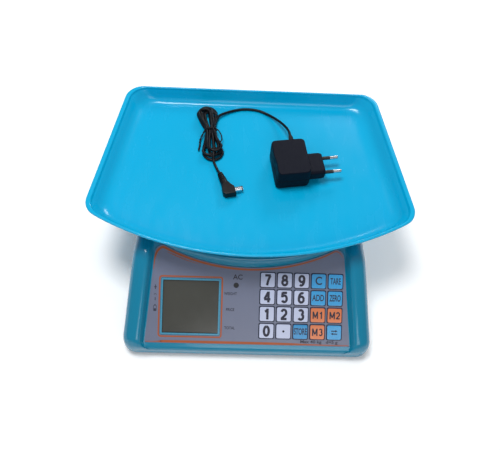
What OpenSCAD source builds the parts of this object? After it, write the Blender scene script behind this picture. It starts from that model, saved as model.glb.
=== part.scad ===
// Price-computing counter scale with a wide weighing pan and a loose mains adapter in the pan.
// Origin: centre of the pan's plan view, on the surface the feet stand on. Front is -Y, up is +Z.

/* [Pan] */
// Distance across the pan's front corners, before they are rounded
pan_front_w = 350; // [330:1:370]
// Distance across the pan's back corners, before they are rounded
pan_back_w = 292; // [270:1:310]
// Depth of the side walls in plan, front corner to back edge
pan_side_d = 171; // [160:1:180]
// Radius of the bowed front edge
pan_front_r = 330; // [300:5:350]
// Height of the pan's rim above the counter
pan_rim_z = 105; // [104:0.5:107]
// Height of the pan's floor, on its top side
pan_floor_z = 88; // [88:0.5:90]
// Thickness of the pan's moulding
pan_wall = 3; // [2.5:0.5:3]

/* [Housing] */
// Width of the housing at its front edge
base_front_w = 268; // [262:1:272]
// Width of the housing at its back edge
base_back_w = 242; // [238:1:246]
// Front face of the housing
base_front_y = -145; // [-147:0.5:-145]
// Back face of the housing
base_back_y = 125; // [123:0.5:127]
// Height of the deck under the pan
deck_z = 74; // [73:0.5:74.5]
// Thickness of the housing's walls
wall = 2.5; // [2:0.25:3]
// How far the side rails stand above the control panel
rail_h = 7; // [5:0.5:8]

/* [Control panel] */
// Slope of the control panel
panel_tilt = 30; // [29:0.5:31]
// Size of one key, corner to corner along a side
key_w = 16.4; // [15.5:0.1:16.6]
// Distance from one key to the next
key_pitch = 18.2; // [18:0.1:18.6]
// How far a key stands above the overlay
key_proud = 0.9; // [0.6:0.1:1.2]
// Width of the display window
lcd_w = 60; // [56:0.5:60]
// Height of the display window, along the slope
lcd_h = 57; // [54:0.5:58]

/* [Feet] */
// Radius of the rubber foot pads
foot_r = 11; // [9:0.5:12]
// Radius of the feet's screws
foot_screw_r = 3; // [2.5:0.5:3]

/* [Mains adapter] */
// Width, length and height of the adapter's body
adapter_size = [38, 47, 28]; // [20:0.5:60]
// Radius of the mains pins
pin_r = 2; // [1.9:0.05:2.1]
// Distance between the mains pins
pin_gap = 18.6; // [18:0.1:19]
// Diameter of the lead
lead_d = 3; // [2.6:0.1:3.2]
// Radius of the low-voltage plug's barrel
barrel_r = 2.75; // [2.5:0.05:2.8]

/* [Hidden] */
KEYS = ["key_0", "key_point", "key_store", "key_m3", "key_change",
        "key_1", "key_2", "key_3", "key_m1", "key_m2",
        "key_4", "key_5", "key_6", "key_add", "key_zero",
        "key_7", "key_8", "key_9", "key_clear", "key_tare"];
CORNERS = ["front_left", "front_right", "back_right", "back_left"];

$fn = 48;
EPS = 0.01;
gap = 0.3;            // free space round a loose or sliding piece
fit = 0.05;           // running clearance of a shaft in its hole

// Colours
pan_blue = [0.03, 0.62, 0.83];
body_blue = [0.05, 0.42, 0.55];
panel_grey = [0.50, 0.50, 0.60];
black = [0.09, 0.10, 0.12];
metal = [0.75, 0.76, 0.78];
board_green = [0.08, 0.36, 0.20];
cap_white = [0.80, 0.82, 0.90];
cap_blue = [0.17, 0.50, 0.75];
cap_orange = [0.82, 0.42, 0.22];

// Heights through the housing
base_z = 4;                         // underside of the lower housing
seam_z = 12;                        // joint between the lower and upper housing
floor_t = 3;                        // lower housing's floor
shoulder_z = 46;                    // side walls start to lean in above this

// Control panel: the overlay's face is the plane z = 0 of the panel's own frame
panel_y = base_front_y + 6;         // overlay's lower edge
panel_z = 20.2;
overlay_t = 1;
seat_t = 2.5;                       // panel plate under the overlay
overlay_low_w = 219;
overlay_high_w = 201;
overlay_h = 104;
bulge_r = 206;                      // radius of the deck's bowed front
bulge_v = 82.2;                     // where the bow meets the panel's centre line
lcd_at = [-61.8, 39];
keypad_at = [56.2, 42.4];
led_at = [-13.8, 63];
led_r = 2.2;
key_t = 3.3;

// Support of the pan
cell_size = [130, 30, 22];
cell_at = [0, 33, 20];
cell_bolt_x = [-58, -46];
cell_bolt_z = base_z + 0.5;
frame_bolt_x = [45, 57];
frame_z = 76.5;
frame_t = 4;
pan_under = pan_floor_z - pan_wall;
support_at = [95, 53];              // half-distances between the support pads

// Feet
foot_at = [108, -118, 103, 98];     // front x, front y, back x, back y
pad_t = 2.5;
screw_head_r = 13;
screw_head_t = 5.5;
pocket_z = base_z + 5.2;

// Battery and back wall
battery_size = [100, 47, 47];
battery_at = [0, 89.5, 6.5];
door_t = 2;
switch_at = [85, base_back_y, 30];
jack_at = [-85, base_back_y, 25];
rear_lcd = [76, 26, 51];            // width, height and middle height

// Mains adapter, lying in the pan
adapter_at = [41.7, 41.2, pan_floor_z];
adapter_turn = 8.5;
pin_mid = [36, -6.3, 14];
pin_l = 19;
pin_root = 7;                       // how far a pin goes into the plug block
root_r = 1.4;
block_size = [26, 28, 14];
relief_from = [44.9, 65.8, 103];
relief_l = 14;
relief_turn = 8.5;
hank_from = [-52, 128];             // middle of the hank's far end and near end
hank_to = [-43.5, 50];
hank_w = 25;
hank_t = 9;
hank_z = pan_floor_z + 0.2;
plug_at = [-25, 9, pan_floor_z + 4.8];
plug_turn = 13;
barrel_l = 8.5;
lead_points = [[42.8, 79.7, 103], [41.8, 86, 102], [39.5, 93, 100], [35.5, 101, 97], [30, 109, 94],
               [23.5, 116.5, 91.2], [16, 122.5, 89.8], [7, 126.5, 89.7], [-3, 128, 89.7],
               [-13, 127.5, 89.7], [-23, 124.5, 90], [-31, 120.5, 90.8], [-39.6, 114, 91.6]];
tail_points = [[-43, 49, 92], [-41.5, 44, 92], [-39.5, 39, 92.2], [-37.2, 34.4, 92.4], [-34.9, 30.8, 92.7]];

// --- Outlines -------------------------------------------------------------------------------

function unit(a) = a / norm(a);
function near_turn(a) = a > 180 ? a - 360 : a < -180 ? a + 360 : a;

// A corner p between its neighbours a and b, rounded by radius r
function corner(a, p, b, r, steps = 6) =
    r == 0 ? [p] :
    let (u = unit(a - p), w = unit(b - p), half = acos(u * w) / 2,
         c = p + unit(u + w) * r / sin(half),
         s = p + u * r / tan(half) - c, e = p + w * r / tan(half) - c,
         from = atan2(s[1], s[0]), turn = near_turn(atan2(e[1], e[0]) - from))
    [for (i = [0 : steps]) c + r * [cos(from + turn * i / steps), sin(from + turn * i / steps)]];

// A closed outline from points [x, y, corner radius]
function rounded(p) = [for (i = [0 : len(p) - 1])
    let (n = len(p), a = p[(i + n - 1) % n], m = p[i], b = p[(i + 1) % n])
    each corner([a[0], a[1]], [m[0], m[1]], [b[0], b[1]], m[2])];

// The left half of a symmetric outline added to its right half
function both_sides(p) =
    concat(p, [for (i = [len(p) - 1 : -1 : 0]) if (p[i][0] > EPS) [-p[i][0], p[i][1], p[i][2]]]);

// Pan: straight slanted sides and back, bowed front
pan_back_y = -base_front_y;
pan_corner = [pan_front_w / 2, pan_back_y - pan_side_d];
side_dir = unit([(pan_back_w - pan_front_w) / 2, pan_side_d]);
side_out = [side_dir[1], -side_dir[0]];
front_mid_y = pan_corner[1] + sqrt(pow(pan_front_r, 2) - pow(pan_corner[0], 2));

// The pan's outline with its sides, front and back moved in; it always has the same number of points
function pan_outline(side_in, front_in, back_in, r) =
    let (foot = side_out * (side_out * pan_corner - side_in),
         q = foot - [0, front_mid_y], rad = pan_front_r - front_in,
         t = -(side_dir * q) - sqrt(pow(side_dir * q, 2) - q * q + rad * rad),
         front = foot + side_dir * t,
         back = foot + side_dir * (pan_back_y - back_in - foot[1]) / side_dir[1],
         spread = asin(front[0] / rad) - 3.6)
    rounded(both_sides(concat(
        [for (a = [0 : 7]) [rad * sin(spread * a / 7), front_mid_y - rad * cos(spread * a / 7), 0]],
        [[front[0], front[1], r], [back[0], back[1], r]])));

// Housing: half its width at y, and its outline between two y values
function base_half(y) = base_front_w / 2
    - (base_front_w - base_back_w) / 2 * (y - base_front_y) / (base_back_y - base_front_y);
function base_outline(in, y0, y1, r) = rounded([
    [base_half(y0) - in, y0, r], [base_half(y1) - in, y1, r],
    [in - base_half(y1), y1, r], [in - base_half(y0), y0, r]]);

// --- Shared shapes --------------------------------------------------------------------------

// Block centred in X and Y, standing on its origin, with rounded upright edges
module slab(size, r) {
    linear_extrude(size[2]) {
        square([size[0] - 2 * r, size[1]], center = true);
        square([size[0], size[1] - 2 * r], center = true);
        for (x = [-1, 1], y = [-1, 1])
            translate([x * (size[0] / 2 - r), y * (size[1] / 2 - r)]) circle(r);
    }
}

// The panel's own frame: X across, Y up the slope, Z out of the face
module on_panel(at = [0, 0], z = 0) {
    translate([0, panel_y, panel_z]) rotate([panel_tilt, 0, 0]) translate([at[0], at[1], z]) children();
}

module on_adapter() {
    translate(adapter_at) rotate(adapter_turn) children();
}

module on_plug() {
    translate(plug_at) rotate(plug_turn) children();
}

// Places a child at a foot, by its number in CORNERS
function foot_xy(i) = [(i == 0 || i == 3 ? -1 : 1) * foot_at[i < 2 ? 0 : 2], foot_at[i < 2 ? 1 : 3]];
module at_foot(i) {
    translate([foot_xy(i)[0], foot_xy(i)[1], 0]) children();
}

// Smooth points along a route, steps to each stretch
function route(p, steps) = concat([for (i = [0 : len(p) - 2], j = [0 : steps - 1])
    let (a = p[max(i - 1, 0)], b = p[i], c = p[i + 1], d = p[min(i + 2, len(p) - 1)], t = j / steps)
    0.5 * (2 * b + (c - a) * t + (2 * a - 5 * b + 4 * c - d) * t * t
        + (3 * b - a - 3 * c + d) * t * t * t)], [p[len(p) - 1]]);

// Round tube swept along a route that never runs straight up
module tube(p, d, sides = 8) {
    n = len(p);
    rings = [for (i = [0 : n - 1])
        let (t = unit(p[min(i + 1, n - 1)] - p[max(i - 1, 0)]),
             u = unit(cross([0, 0, 1], t)), w = cross(t, u))
        for (k = [0 : sides - 1]) p[i] + d / 2 * (cos(360 * k / sides) * u + sin(360 * k / sides) * w)];
    sleeve = [for (i = [0 : n - 2], k = [0 : sides - 1])
        let (a = i * sides + k, b = i * sides + (k + 1) % sides) [a, a + sides, b + sides, b]];
    ends = [[for (k = [0 : sides - 1]) k], [for (k = [sides - 1 : -1 : 0]) (n - 1) * sides + k]];
    polyhedron(rings, concat(sleeve, ends), convexity = 6);
}

// --- Housing --------------------------------------------------------------------------------

screw_xy = [for (x = [-1, 1]) each [[x * 122, -134], [x * 123, -30], [x * 118.5, 60], [x * 66, 119.5]]];
screw_r = 1.5;
screw_l = 20;
screw_head = [2.8, 2];              // head radius and height
post_top = 28;                      // the posts meet the skin of the upper housing here

module lower_housing() color(body_blue) difference() {
    union() {
        lower_tray();
        cell_pedestal();
    }
    cell_bolt_holes();
}

module lower_tray() {
    difference() {
        translate([0, 0, base_z]) linear_extrude(seam_z - base_z)
            polygon(base_outline(0, base_front_y, base_back_y, 14));
        translate([0, 0, base_z + floor_t]) linear_extrude(seam_z)
            polygon(base_outline(wall, base_front_y + wall, base_back_y - wall, 11.5));
        for (i = [0 : 3]) at_foot(i) translate([0, 0, base_z - 1]) cylinder(r = screw_head_r + 2, h = seam_z);
        for (p = screw_xy) translate([p[0], p[1], 0]) {
            cylinder(r = screw_r + fit, h = 2 * seam_z);
            cylinder(r = screw_head[0] + gap, h = base_z + screw_head[1] + fit);
        }
        battery_opening();
    }
    for (i = [0 : 3]) at_foot(i) foot_cup();
    for (p = screw_xy) translate([p[0], p[1], base_z + floor_t]) difference() {
        cylinder(r = 4.5, h = seam_z - base_z - floor_t);
        translate([0, 0, -1]) cylinder(r = screw_r + fit, h = seam_z);
    }
}

// Cup that a foot's wheel turns in, with the boss for its screw
module foot_cup() {
    difference() {
        union() {
            translate([0, 0, base_z]) cylinder(r = screw_head_r + 4, h = pocket_z - base_z + 2);
            cylinder(r = foot_screw_r + 3, h = 20);
        }
        translate([0, 0, base_z - 5]) cylinder(r = screw_head_r + 1.5, h = pocket_z - base_z + 5);
        cylinder(r = foot_screw_r + fit, h = 30);
    }
}

// Battery compartment's mouth, and the track that its door slides out along
module battery_opening() {
    translate([battery_at[0] - 53, 63, 0]) cube([106, 53, 20]);
    translate([battery_at[0] - 57 - gap, 59 - gap, base_z - 1])
        cube([114 + 2 * gap, base_back_y - 58 + gap, door_t + 1 + 2 * fit]);
}

module cell_pedestal() {
    translate([-52, cell_at[1], base_z + floor_t - EPS])
        slab([26, 28, cell_at[2] - base_z - floor_t + EPS], 2);
}

// Holes for the bolts that come up through the floor and the pedestal into the cell
module cell_bolt_holes() {
    for (x = cell_bolt_x) translate([x, cell_at[1], 0]) {
        cylinder(r = 3 + fit, h = 2 * cell_at[2]);
        cylinder(r = 5 + gap, h = cell_bolt_z + 5 + fit);
    }
}

// Solid outer form of the upper housing, moved in all round
module upper_form(in) {
    top = deck_z - in;
    lift = (rail_h - in) / cos(panel_tilt);
    slope_y = function (z) panel_y + (z - panel_z - lift) / tan(panel_tilt);
    hull() {
        translate([0, 0, seam_z - EPS * in]) linear_extrude(EPS)
            polygon(base_outline(in, base_front_y + in, base_back_y - in, 14 - in));
        translate([0, 0, panel_z + lift - 4]) linear_extrude(EPS)
            polygon(base_outline(in, base_front_y + in, base_back_y - in, 14 - in));
        translate([0, 0, shoulder_z]) linear_extrude(EPS)
            polygon(base_outline(in, slope_y(shoulder_z), base_back_y - in, 10));
        translate([0, 0, top]) linear_extrude(EPS)
            polygon(base_outline(in + 7, slope_y(top), base_back_y - in, 10));
    }
}

// Outline of the overlay's recess on the panel, moved out by grow
module panel_outline(grow) {
    difference() {
        polygon([[-overlay_low_w / 2 - grow - 1, -12], [overlay_low_w / 2 + grow + 1, -12],
                 [overlay_high_w / 2 + grow, overlay_h + grow],
                  [-overlay_high_w / 2 - grow, overlay_h + grow]]);
        translate([0, bulge_v + bulge_r]) circle(bulge_r - grow, $fn = 180);
    }
}

module upper_housing() color(body_blue) {
    difference() {
        upper_form(0);
        // Hollow inside, which keeps clear of the panel
        difference() {
            upper_form(wall);
            on_panel([0, 0], -overlay_t - seat_t) linear_extrude(60) panel_outline(wall + gap);
        }
        // Recess between the rails, and the overlay's seat in it
        on_panel() linear_extrude(60) panel_outline(gap);
        on_panel([0, 0], -overlay_t) linear_extrude(10) overlay_sheet(gap / 2);
        on_panel(lcd_at, -10) slab([lcd_w, lcd_h, 20], 1);
        on_panel(keypad_at, -10) slab([93, 75, 20], 1);
        on_panel(led_at, -10) cylinder(r = led_r + gap, h = 20);
        // Opening in the deck for the platform's column
        translate([51, cell_at[1], deck_z - 10]) slab([36, 34, 20], 4);
        // Windows in the back wall
        translate([0, base_back_y - 5, rear_lcd[2]]) cube([rear_lcd[0], 20, rear_lcd[1]], center = true);
        translate(switch_at) cube([13, 20, 19.5], center = true);
        translate(jack_at) rotate([90, 0, 0]) cylinder(r = 5 + fit, h = 20, center = true);
    }
    for (p = screw_xy) screw_post(p);
}

// Post for one housing screw, from the seam up to just under the skin
module screw_post(p) {
    translate([p[0], p[1], seam_z]) difference() {
        cylinder(r = 4, h = post_top - seam_z);
        translate([0, 0, -1]) cylinder(r = screw_r + fit, h = screw_l);
    }
}

module housing_screws() color(metal) for (p = screw_xy) translate([p[0], p[1], base_z]) {
    difference() {
        cylinder(r = screw_head[0], h = screw_head[1]);
        translate([-2, -0.4, -1]) cube([4, 0.8, 1.8]);
        translate([-0.4, -2, -1]) cube([0.8, 4, 1.8]);
    }
    cylinder(r = screw_r, h = screw_l);
}

// --- Control panel --------------------------------------------------------------------------

// The overlay's outline, moved out by grow: slanted sides, rounded corners, top edge bowed inwards
module overlay_sheet(grow) {
    difference() {
        polygon(rounded([
            [-overlay_low_w / 2 - grow, -grow, 2], [overlay_low_w / 2 + grow, -grow, 2],
            [overlay_high_w / 2 + grow, overlay_h, 9], [-overlay_high_w / 2 - grow, overlay_h, 9]]));
        translate([0, bulge_v + bulge_r]) circle(bulge_r - grow, $fn = 180);
    }
}

// Middle of a key on the panel, by its number in KEYS
function key_at(i) = keypad_at + key_pitch * [i % 5 - 2, floor(i / 5) - 1.5];

module panel_overlay() color(panel_grey) {
    difference() {
        on_panel([0, 0], -overlay_t) linear_extrude(overlay_t) overlay_sheet(0);
        on_panel(lcd_at, -5) slab([lcd_w + 4, lcd_h + 4, 10], 2);
        on_panel(led_at, -5) cylinder(r = led_r + gap, h = 10);
        for (i = [0 : len(KEYS) - 1]) on_panel(key_at(i), -5) slab([key_w + 0.6, key_w + 0.6, 10], 1.8);
    }
}

module key(i, cap) color(cap) on_panel(key_at(i), key_proud - key_t) slab([key_w, key_w, key_t], 1.5);

module keypad_board() color(board_green) {
    on_panel(keypad_at, -6) slab([95, 77, 1.6], 2);
    // Dome under each key, just clear of it when it is pressed
    for (i = [0 : len(KEYS) - 1]) on_panel(key_at(i), -4.4) cylinder(r1 = 5, r2 = 3, h = 1.1);
}

module display_lens() color("grey") on_panel(lcd_at, -3.4) slab([lcd_w - 0.4, lcd_h - 0.4, 1.4], 0.8);

module lcd_panel() color("dimgray") on_panel(lcd_at, -6.6) slab([lcd_w + 5, lcd_h + 5, 3], 0.5);

module power_led() color(black) on_panel(led_at, -6) {
    cylinder(r = led_r, h = 5.6);
    cylinder(r = led_r + 0.8, h = 1.5);
}

module main_board() color(board_green) on_panel([0, 46], -18) {
    slab([150, 56, 1.6], 2);
    // Processor, amplifier, capacitors and plug headers
    translate([-10, 2, 1.6]) slab([14, 14, 1.4], 0.5);
    translate([26, -8, 1.6]) slab([9, 6, 1.4], 0.5);
    for (x = [40, 52, 64]) translate([x, 10, 1.6]) cylinder(r = 3.6, h = 6);
    for (x = [-62, -44, -28]) translate([x, -20, 1.6]) slab([12, 6, 6], 0.5);
}

// --- Load cell and pan ----------------------------------------------------------------------

// The cell is one bar with two joined round holes, bolted down at its left end
module load_cell() color(metal) {
    difference() {
        translate(cell_at) slab(cell_size, 0.8);
        for (x = [-14, 14]) translate([x, cell_at[1], cell_at[2] + cell_size[2] / 2])
            rotate([90, 0, 0]) cylinder(r = 8, h = 40, center = true);
        translate([0, cell_at[1], cell_at[2] + cell_size[2] / 2]) cube([28, 40, 5], center = true);
        for (x = cell_bolt_x) translate([x, cell_at[1], cell_at[2] - 1]) cylinder(r = 3 + fit, h = 14);
        for (x = frame_bolt_x) translate([x, cell_at[1], cell_at[2] + 9]) cylinder(r = 3 + fit, h = 20);
    }
}

// A hexagon-socket bolt: head down, shank up
module bolt(shank) {
    difference() {
        cylinder(r = 5, h = 5);
        translate([0, 0, -1]) cylinder(r = 2.5, h = 4, $fn = 6);
    }
    translate([0, 0, 5 - EPS]) cylinder(r = 3, h = shank + EPS);
}

module load_cell_bolts() color(metal)
    for (x = cell_bolt_x) translate([x, cell_at[1], cell_bolt_z]) bolt(22);

module platform_bolts() color(metal)
    for (x = frame_bolt_x) translate([x, cell_at[1], frame_z + frame_t]) mirror([0, 0, 1]) bolt(40);

// Cross-shaped frame over the deck, with a column down to the cell's free end
module platform_frame() color(metal) difference() {
    union() {
        translate([0, cell_at[1], frame_z]) linear_extrude(frame_t) {
            for (x = [-1, 1], y = [-1, 1]) translate([x * support_at[0], y * support_at[1]]) circle(10);
            for (s = [-1, 1]) rotate(s * atan(support_at[1] / support_at[0]))
                square([2 * norm(support_at), 17], center = true);
            translate([19, 0]) square([98, 44], center = true);
        }
        translate([51, cell_at[1], cell_at[2] + cell_size[2]])
            slab([26, 24, frame_z - cell_at[2] - cell_size[2] + 1], 3);
    }
    for (x = frame_bolt_x) translate([x, cell_at[1], 0]) {
        cylinder(r = 3 + fit, h = 2 * deck_z);
        translate([0, 0, frame_z + frame_t - 5 - gap]) cylinder(r = 5 + gap, h = 20);
    }
}

module support_pads() color(black)
    for (x = [-1, 1], y = [-1, 1])
        translate([x * support_at[0], cell_at[1] + y * support_at[1], frame_z + frame_t])
            cylinder(r = 8, h = pan_under - frame_z - frame_t);

// One level of the pan at a height, from the rim (k = 0) to the floor (k = 1), moved in by inset
function pan_level(z, k, inset) =
    [for (p = pan_outline(25 * k + inset, 15 * k + inset, 11 * k + inset, 20 - inset)) [p[0], p[1], z]];

// Closed solid through rings of points, which all have the same number of points
module loft(rings) {
    n = len(rings[0]);
    top = (len(rings) - 1) * n;
    walls = [for (i = [0 : len(rings) - 2], k = [0 : n - 1])
        let (a = i * n + k, b = i * n + (k + 1) % n) each [[a, a + n, b + n], [a, b + n, b]]];
    ends = [[for (k = [0 : n - 1]) k], [for (k = [n - 1 : -1 : 0]) top + k]];
    polyhedron([for (r = rings) each r], concat(walls, ends), convexity = 6);
}

module weighing_tray() color(pan_blue) loft([
    pan_level(pan_under, 0.94, 0),
    pan_level(pan_floor_z + 3, 0.76, -1),
    pan_level(pan_rim_z - 4, 0.1, 0),
    pan_level(pan_rim_z - 2.5, 0, 0),
    pan_level(pan_rim_z - 0.8, 0, 0),
    pan_level(pan_rim_z, 0, 1),
    pan_level(pan_rim_z, 0.14, 0.6),
    pan_level(pan_rim_z - 1.2, 0.22, 0.6),
    pan_level(pan_floor_z + 4.5, 0.74, 1.2),
    pan_level(pan_floor_z + 1.2, 0.9, 0.8),
    pan_level(pan_floor_z, 1, 0.8)]);

// --- Battery, back wall and wiring ----------------------------------------------------------

module battery() color("dimgray") {
    translate([battery_at[0], battery_at[1], battery_at[2]]) slab(battery_size, 2);
    for (x = [-40, 40]) translate([x, battery_at[1] + 10, battery_at[2] + battery_size[2]])
        slab([5, 6, 4], 0.4);
}

module battery_door() color(body_blue) {
    translate([battery_at[0] - 57, 59, base_z]) difference() {
        cube([114, base_back_y - 59 - 1, door_t]);
        // Grip ribs are the bars left between these grooves
        for (k = [0 : 4]) translate([42, 50 + 2.4 * k, -1]) cube([30, 1.2, 1.6]);
    }
}

module rear_display_lens() color("grey")
    translate([0, base_back_y - 1.6, rear_lcd[2]])
        cube([rear_lcd[0] - 0.4, 1.6, rear_lcd[1] - 0.4], center = true);

module rear_lcd_panel() color("dimgray")
    translate([0, base_back_y - wall - 2, rear_lcd[2]])
        cube([rear_lcd[0] + 6, 3, rear_lcd[1] + 6], center = true);

// Rocker switch: frame on the wall, and a box behind it that the rocker turns in
rocker_at = [switch_at[0], switch_at[1] - 5, switch_at[2]];

module switch_body() color(black) difference() {
    union() {
        translate([switch_at[0] - 7.5, switch_at[1], switch_at[2] - 10.5]) cube([15, 1.5, 21]);
        translate([switch_at[0] - 6.3, switch_at[1] - 16, switch_at[2] - 9.6]) cube([12.6, 16.5, 19.2]);
        for (z = [-6, 0, 6]) translate([switch_at[0] - 2.4, switch_at[1] - 23, switch_at[2] + z - 0.4])
            cube([4.8, 8, 0.8]);
    }
    translate([switch_at[0] - 4.8, switch_at[1] - 11, switch_at[2] - 8.6]) cube([9.6, 20, 17.2]);
    translate(rocker_at) rotate([0, 90, 0]) cylinder(r = 1.5 + fit, h = 11.6, center = true);
}

// The rocker rests with its lower half pressed in
module power_rocker() color(black) translate(rocker_at) rotate([10, 0, 0]) {
    rotate([90, 0, 90]) linear_extrude(9.2, center = true)
        polygon([[-3, -5], [-3, 5], [4, 7], [7.7, 7], [6.5, 0], [7.7, -7], [4, -7]]);
    rotate([0, 90, 0]) cylinder(r = 1.5, h = 11.2, center = true);
}

module dc_jack() color(black) difference() {
    union() {
        translate([jack_at[0] - 7, jack_at[1] - wall - 12, jack_at[2] - 6]) cube([14, 12, 12]);
        translate([jack_at[0], jack_at[1] - wall - 1, jack_at[2]]) rotate([-90, 0, 0])
            cylinder(r = 5, h = wall + 1);
    }
    translate([jack_at[0], jack_at[1] + 1, jack_at[2]]) rotate([90, 0, 0])
        cylinder(r = barrel_r + 0.15, h = 11);
}

module wiring_harness() color("darkred") {
    tube(route([[-63, 60, 30], [-66, 56, 30], [-68, 40, 30], [-68, 10, 30], [-60, -30, 30], [-54, -64, 33],
                [-50, -78, 36]], 2), 4);
    tube(route([[85, 100, 30], [84, 92, 28], [82, 70, 24], [80, 20, 22], [72, -30, 26], [60, -60, 32],
                [54, -76, 37]], 2), 4);
    tube(route([[-85, 108, 25], [-84, 100, 24], [-82, 80, 22], [-80, 40, 20], [-76, -10, 22], [-70, -50, 28],
                [-66, -74, 33]], 2), 4);
}

// --- Feet -----------------------------------------------------------------------------------

// Rubber pad, with the peg that the screw's wheel turns on
module foot_pad(i) color(black) at_foot(i) {
    cylinder(r = foot_r, h = pad_t);
    cylinder(r = 2, h = pad_t + 3);
}

// Wheel with finger notches, and its screw up into the housing's boss
module foot_screw(i) color(black) at_foot(i) translate([0, 0, pad_t]) difference() {
    union() {
        cylinder(r = screw_head_r, h = screw_head_t);
        cylinder(r = foot_screw_r, h = 16);
    }
    translate([0, 0, -1]) cylinder(r = 2 + fit, h = 4.4);
    for (a = [0 : 30 : 359]) rotate(a) translate([screw_head_r + 0.8, 0, -1])
        cylinder(r = 1.8, h = 10, $fn = 16);
}

// --- Mains adapter --------------------------------------------------------------------------

module adapter_shell() color(black) on_adapter() difference() {
    union() {
        slab(adapter_size, 6);
        // Plug block at the right
        translate([pin_mid[0] - block_size[0] / 2, pin_mid[1], pin_mid[2] - block_size[2] / 2])
            slab(block_size, 3.9);
    }
    for (y = [-1, 1]) translate([pin_mid[0] - pin_root - 1, pin_mid[1] + y * pin_gap / 2, pin_mid[2]])
        rotate([0, 90, 0]) cylinder(r = root_r + fit, h = pin_root + 10);
}

module adapter_pins() color(metal) on_adapter()
    for (y = [-1, 1]) translate([pin_mid[0], pin_mid[1] + y * pin_gap / 2, pin_mid[2]]) rotate([0, 90, 0]) {
        translate([0, 0, -pin_root]) cylinder(r = root_r, h = pin_root + 1);
        cylinder(r = pin_r, h = pin_l - 0.8);
        translate([0, 0, pin_l - 0.8]) cylinder(r1 = pin_r, r2 = pin_r - 0.8, h = 0.8);
    }

// Bend protector: a tapered sleeve with ribs, straight out of the adapter's back
module strain_relief() color(black) translate(relief_from) rotate([-90, 0, relief_turn]) {
    cylinder(r = 4, h = 2.5);
    cylinder(r1 = 3.2, r2 = lead_d / 2 + 0.4, h = relief_l);
    for (k = [1 : 3]) translate([0, 0, 1 + 3 * k]) cylinder(r = 3.6 - 0.35 * k, h = 1.4);
}

module adapter_lead() color(black) tube(route(lead_points, 2), lead_d);

module lead_tail() color(black) tube(route(tail_points, 2), lead_d);

hank_dir = unit(hank_to - hank_from);
hank_l = norm(hank_to - hank_from);
module on_hank(z = 0) {
    translate([(hank_from[0] + hank_to[0]) / 2, (hank_from[1] + hank_to[1]) / 2, hank_z + z])
        rotate(atan2(hank_dir[1], hank_dir[0])) children();
}

// The wound lead's outer form: two lobes with a waist where it is tied
module lead_hank() color(black) on_hank() linear_extrude(hank_t) {
    square([hank_l - hank_w, hank_w - 7], center = true);
    for (s = [-1, 1]) translate([s * (hank_l - hank_w) / 2, 0]) circle(hank_w / 2);
}

// Wire tie round the waist, with its twisted ends
module lead_tie() color(black) on_hank() {
    difference() {
        translate([0, 0, -0.15]) slab([2.4, hank_w - 4.6, hank_t + 1.1], 0.4);
        slab([4, hank_w - 7, hank_t], 0.2);
    }
}

module dc_plug_body() color(black) on_plug() difference() {
    union() {
        translate([0, 0, -4.6]) slab([14, 13, 9.2], 4);
        translate([-1.5, 5, 0]) rotate([-90, 0, 9.5]) cylinder(r1 = 4.4, r2 = 2.4, h = 18);
    }
    translate([-6, 0, 0]) rotate([0, 90, 0]) cylinder(r = barrel_r - 0.5 + fit, h = 30);
}

// Hollow metal barrel, held in the plug's body
module dc_plug_barrel() color(metal) on_plug() rotate([0, 90, 0]) difference() {
    union() {
        translate([0, 0, -5]) cylinder(r = barrel_r - 0.5, h = 13);
        translate([0, 0, 7]) cylinder(r = barrel_r, h = barrel_l);
    }
    translate([0, 0, -1]) cylinder(r = 1.25, h = 40);
}

// --- Whole part -----------------------------------------------------------------------------

lower_housing();
upper_housing();
panel_overlay();
display_lens();
lcd_panel();
rear_display_lens();
rear_lcd_panel();
main_board();
keypad_board();
power_led();
load_cell();
load_cell_bolts();
platform_frame();
platform_bolts();
support_pads();
weighing_tray();
battery();
battery_door();
wiring_harness();
switch_body();
power_rocker();
dc_jack();
housing_screws();
adapter_shell();
adapter_pins();
strain_relief();
adapter_lead();
lead_hank();
lead_tie();
lead_tail();
dc_plug_body();
dc_plug_barrel();
key(0, cap_white);  // key_0
key(1, cap_white);  // key_point
key(2, cap_blue);  // key_store
key(3, cap_orange);  // key_m3
key(4, cap_blue);  // key_change
key(5, cap_white);  // key_1
key(6, cap_white);  // key_2
key(7, cap_white);  // key_3
key(8, cap_orange);  // key_m1
key(9, cap_orange);  // key_m2
key(10, cap_white);  // key_4
key(11, cap_white);  // key_5
key(12, cap_white);  // key_6
key(13, cap_blue);  // key_add
key(14, cap_blue);  // key_zero
key(15, cap_white);  // key_7
key(16, cap_white);  // key_8
key(17, cap_white);  // key_9
key(18, cap_blue);  // key_clear
key(19, cap_blue);  // key_tare
foot_pad(0);  // foot_pad_front_left
foot_pad(1);  // foot_pad_front_right
foot_pad(2);  // foot_pad_back_right
foot_pad(3);  // foot_pad_back_left
foot_screw(0);  // foot_screw_front_left
foot_screw(1);  // foot_screw_front_right
foot_screw(2);  // foot_screw_back_right
foot_screw(3);  // foot_screw_back_left
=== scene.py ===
"""Looks of the price-computing scale: its pan, housing, control panel, keys and loose mains adapter.

Lengths are in millimetres in this file's own numbers and become metres in spot and where MM stands.
Places are in the CAD frame: origin on the counter, in the middle of the whole plan, front -Y.
"""

import math

import bmesh
import bpy
from mathutils import Matrix, Vector


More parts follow.
